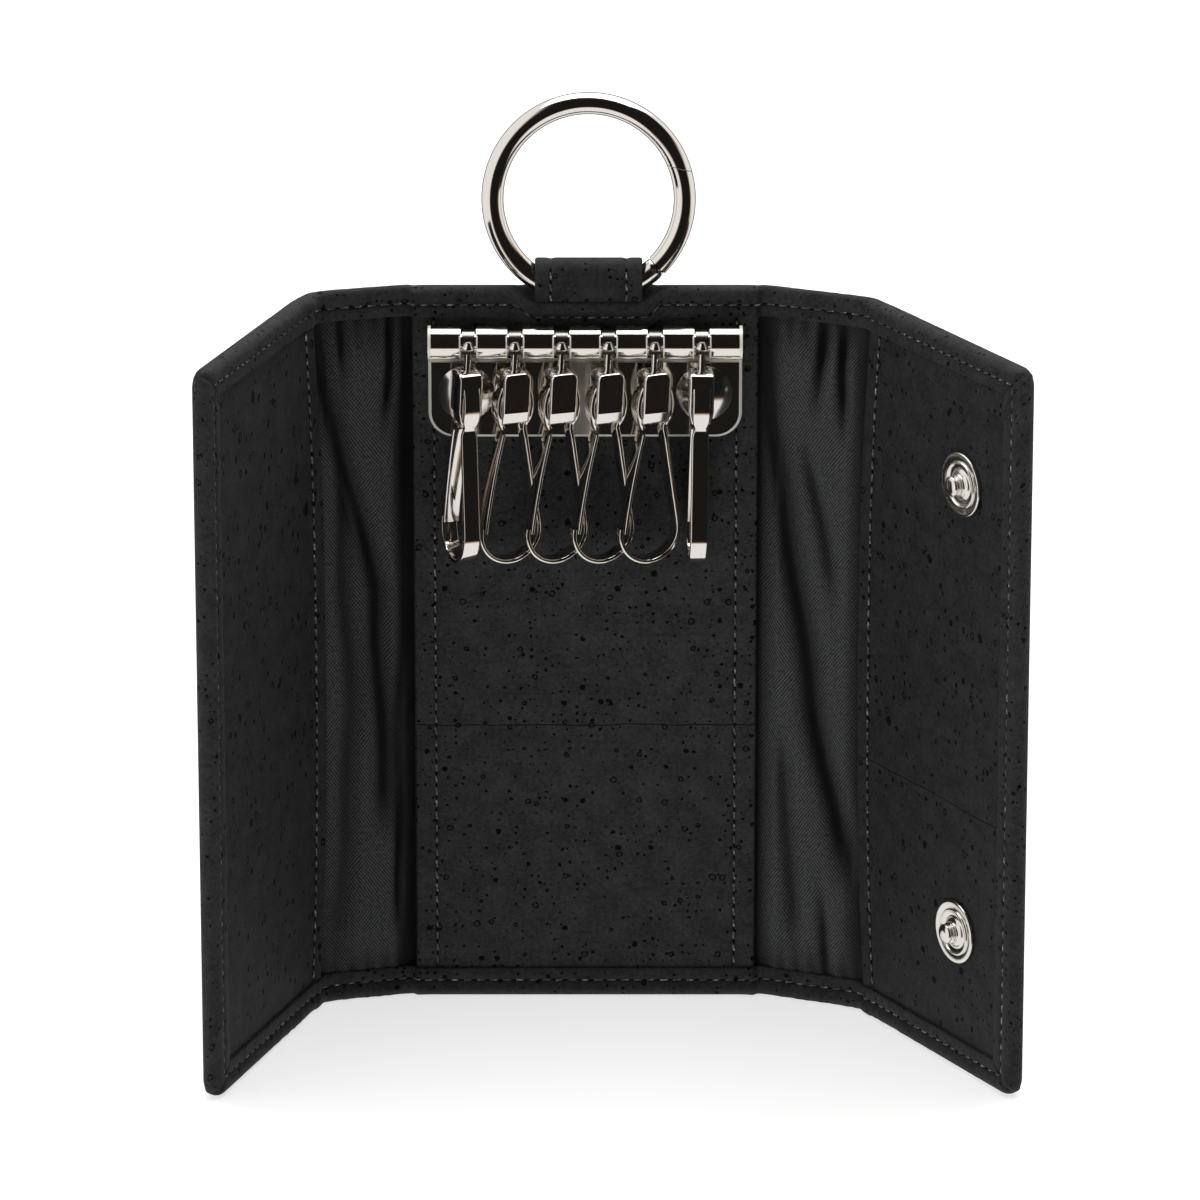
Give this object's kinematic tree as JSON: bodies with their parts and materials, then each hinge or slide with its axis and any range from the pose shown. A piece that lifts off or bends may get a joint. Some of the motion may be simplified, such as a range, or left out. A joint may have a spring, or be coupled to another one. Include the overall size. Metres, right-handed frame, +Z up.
{
  "type": "key case",
  "caption": "Folding upright key case in dark cork with lined fold zones, press-stud flaps, a bar of swinging sprung key hooks and a gated carry ring on a strap.",
  "frame": {"origin": "middle of the bottom edge of the centre panel, in the plane of that panel's back", "axes": "+X to the right across the open case, +Y out of its back, +Z up towards the ring"},
  "size_m": [0.1307, 0.0518, 0.1513],
  "materials": {
    "cork": "matte cork skin",
    "board": "matte",
    "lining": "fine twill",
    "nickel": "polished nickel plate",
    "spring_steel": "satin"
  },
  "bodies": {
    "case": {"centre_shell": "cork", "centre_board": "board", "centre_panel": "cork", "ring_strap_tail": "cork", "hook_plate": "nickel", "hook_rod": "nickel", "plate_rivets": "nickel", "rivet_washers": "nickel"},
    "left_fold": {"left_fold_shell": "cork", "left_lining": "lining"},
    "left_flap": {"left_flap_shell": "cork", "left_board": "board", "left_panel": "cork", "sockets": "nickel", "socket_springs": "spring_steel", "socket_washers": "nickel"},
    "right_fold": {"right_fold_shell": "cork", "right_lining": "lining"},
    "right_flap": {"right_flap_shell": "cork", "right_board": "board", "right_panel": "cork", "studs": "nickel", "stud_posts": "nickel"},
    "strap": {"ring_strap": "cork"},
    "ring": {"ring": "nickel", "ring_gate_pin": "spring_steel"},
    "ring_gate": {"ring_gate": "nickel"},
    "hook_1_saddle": {"hook_1_saddle": "nickel"},
    "hook_1": {"hook_1_head": "nickel", "hook_1_loop": "nickel"},
    "hook_1_gate": {"hook_1_gate": "nickel"},
    "hook_2_saddle": {"hook_2_saddle": "nickel"},
    "hook_2": {"hook_2_head": "nickel", "hook_2_loop": "nickel"},
    "hook_2_gate": {"hook_2_gate": "nickel"},
    "hook_3_saddle": {"hook_3_saddle": "nickel"},
    "hook_3": {"hook_3_head": "nickel", "hook_3_loop": "nickel"},
    "hook_3_gate": {"hook_3_gate": "nickel"},
    "hook_4_saddle": {"hook_4_saddle": "nickel"},
    "hook_4": {"hook_4_head": "nickel", "hook_4_loop": "nickel"},
    "hook_4_gate": {"hook_4_gate": "nickel"},
    "hook_5_saddle": {"hook_5_saddle": "nickel"},
    "hook_5": {"hook_5_head": "nickel", "hook_5_loop": "nickel"},
    "hook_5_gate": {"hook_5_gate": "nickel"},
    "hook_6_saddle": {"hook_6_saddle": "nickel"},
    "hook_6": {"hook_6_head": "nickel", "hook_6_loop": "nickel"},
    "hook_6_gate": {"hook_6_gate": "nickel"}
  },
  "joints": [
    {"name": "left_inner_crease", "type": "hinge", "parent": "case", "child": "left_fold", "pos_m": [-0.02745, -0.0012, 0.0605], "axis": [0, 0, -1], "range_deg": [-51.1, 13.9]},
    {"name": "left_outer_crease", "type": "hinge", "parent": "left_fold", "child": "left_flap", "pos_m": [-0.04318, -0.00509, 0.0605], "axis": [0, 0, -1], "range_deg": [-59.8, 55.2]},
    {"name": "right_inner_crease", "type": "hinge", "parent": "case", "child": "right_fold", "pos_m": [0.02745, -0.0012, 0.0605], "axis": [0, 0, 1], "range_deg": [-73.8, 21.2]},
    {"name": "right_outer_crease", "type": "hinge", "parent": "right_fold", "child": "right_flap", "pos_m": [0.04498, -0.008, 0.0605], "axis": [0, 0, 1], "range_deg": [-48, 37]},
    {"name": "strap_flex", "type": "hinge", "parent": "case", "child": "strap", "pos_m": [0.00055, -0.00035, 0.11955], "axis": [1, 0, 0], "range_deg": [-61, 79]},
    {"name": "ring_spin", "type": "hinge", "parent": "strap", "child": "ring", "pos_m": [0.00055, 0.00203, 0.13456], "axis": [0, -0.9877, 0.1564], "continuous": true},
    {"name": "ring_gate_hinge", "type": "hinge", "parent": "ring", "child": "ring_gate", "pos_m": [0.01072, 0.00026, 0.12341], "axis": [0, -0.9877, 0.1564], "range_deg": [0, 25], "stiffness_Nm_per_rad": 0.05, "springref_deg": -5.73},
    {"name": "hook_1_swing", "type": "hinge", "parent": "case", "child": "hook_1_saddle", "pos_m": [-0.01847, -0.00385, 0.11265], "axis": [-1, 0, 0], "range_deg": [0, 100]},
    {"name": "hook_1_swivel", "type": "hinge", "parent": "hook_1_saddle", "child": "hook_1", "pos_m": [-0.01847, -0.00725, 0.11265], "axis": [-0.0454, 0, -0.999], "range_deg": [-4, 22]},
    {"name": "hook_1_gate_hinge", "type": "hinge", "parent": "hook_1", "child": "hook_1_gate", "pos_m": [-0.01976, -0.00563, 0.09882], "axis": [-0.9262, -0.3746, 0.0421], "range_deg": [0, 13], "stiffness_Nm_per_rad": 0.02, "springref_deg": -5.73},
    {"name": "hook_2_swing", "type": "hinge", "parent": "case", "child": "hook_2_saddle", "pos_m": [-0.01108, -0.00385, 0.11265], "axis": [-1, 0, 0], "range_deg": [0, 100]},
    {"name": "hook_2_swivel", "type": "hinge", "parent": "hook_2_saddle", "child": "hook_2", "pos_m": [-0.01108, -0.00725, 0.11265], "axis": [-0.0419, 0, -0.9991], "range_deg": [-60, 0]},
    {"name": "hook_2_gate_hinge", "type": "hinge", "parent": "hook_2", "child": "hook_2_gate", "pos_m": [-0.01327, -0.00795, 0.09885], "axis": [0.3968, -0.9178, -0.0166], "range_deg": [0, 13], "stiffness_Nm_per_rad": 0.02, "springref_deg": -5.73},
    {"name": "hook_3_swing", "type": "hinge", "parent": "case", "child": "hook_3_saddle", "pos_m": [-0.00369, -0.00385, 0.11265], "axis": [-1, 0, 0], "range_deg": [0, 100]},
    {"name": "hook_3_swivel", "type": "hinge", "parent": "hook_3_saddle", "child": "hook_3", "pos_m": [-0.00369, -0.00725, 0.11265], "axis": [-0.0419, 0, -0.9991], "range_deg": [-60, 0]},
    {"name": "hook_3_gate_hinge", "type": "hinge", "parent": "hook_3", "child": "hook_3_gate", "pos_m": [-0.00588, -0.00795, 0.09885], "axis": [0.3968, -0.9178, -0.0166], "range_deg": [0, 13], "stiffness_Nm_per_rad": 0.02, "springref_deg": -5.73},
    {"name": "hook_4_swing", "type": "hinge", "parent": "case", "child": "hook_4_saddle", "pos_m": [0.00369, -0.00385, 0.11265], "axis": [-1, 0, 0], "range_deg": [0, 100]},
    {"name": "hook_4_swivel", "type": "hinge", "parent": "hook_4_saddle", "child": "hook_4", "pos_m": [0.00369, -0.00725, 0.11265], "axis": [-0.0419, 0, -0.9991], "range_deg": [-60, 0]},
    {"name": "hook_4_gate_hinge", "type": "hinge", "parent": "hook_4", "child": "hook_4_gate", "pos_m": [0.00151, -0.00795, 0.09885], "axis": [0.3968, -0.9178, -0.0166], "range_deg": [0, 13], "stiffness_Nm_per_rad": 0.02, "springref_deg": -5.73},
    {"name": "hook_5_swing", "type": "hinge", "parent": "case", "child": "hook_5_saddle", "pos_m": [0.01108, -0.00385, 0.11265], "axis": [-1, 0, 0], "range_deg": [0, 100]},
    {"name": "hook_5_swivel", "type": "hinge", "parent": "hook_5_saddle", "child": "hook_5", "pos_m": [0.01108, -0.00725, 0.11265], "axis": [-0.0419, 0, -0.9991], "range_deg": [-60, 0]},
    {"name": "hook_5_gate_hinge", "type": "hinge", "parent": "hook_5", "child": "hook_5_gate", "pos_m": [0.0089, -0.00795, 0.09885], "axis": [0.3968, -0.9178, -0.0166], "range_deg": [0, 13], "stiffness_Nm_per_rad": 0.02, "springref_deg": -5.73},
    {"name": "hook_6_swing", "type": "hinge", "parent": "case", "child": "hook_6_saddle", "pos_m": [0.01847, -0.00385, 0.11265], "axis": [-1, 0, 0], "range_deg": [0, 100]},
    {"name": "hook_6_swivel", "type": "hinge", "parent": "hook_6_saddle", "child": "hook_6", "pos_m": [0.01847, -0.00725, 0.11265], "axis": [-0.0244, 0, -0.9997], "range_deg": [-20, 5]},
    {"name": "hook_6_gate_hinge", "type": "hinge", "parent": "hook_6", "child": "hook_6_gate", "pos_m": [0.01803, -0.0055, 0.09878], "axis": [-0.998, -0.0576, 0.0244], "range_deg": [0, 13], "stiffness_Nm_per_rad": 0.02, "springref_deg": -5.73}
  ],
  "couplings": [
    {"joint": "hook_2_swing", "follows": "hook_3_swing", "ratio": 1},
    {"joint": "hook_4_swing", "follows": "hook_3_swing", "ratio": 1},
    {"joint": "hook_5_swing", "follows": "hook_3_swing", "ratio": 1}
  ]
}
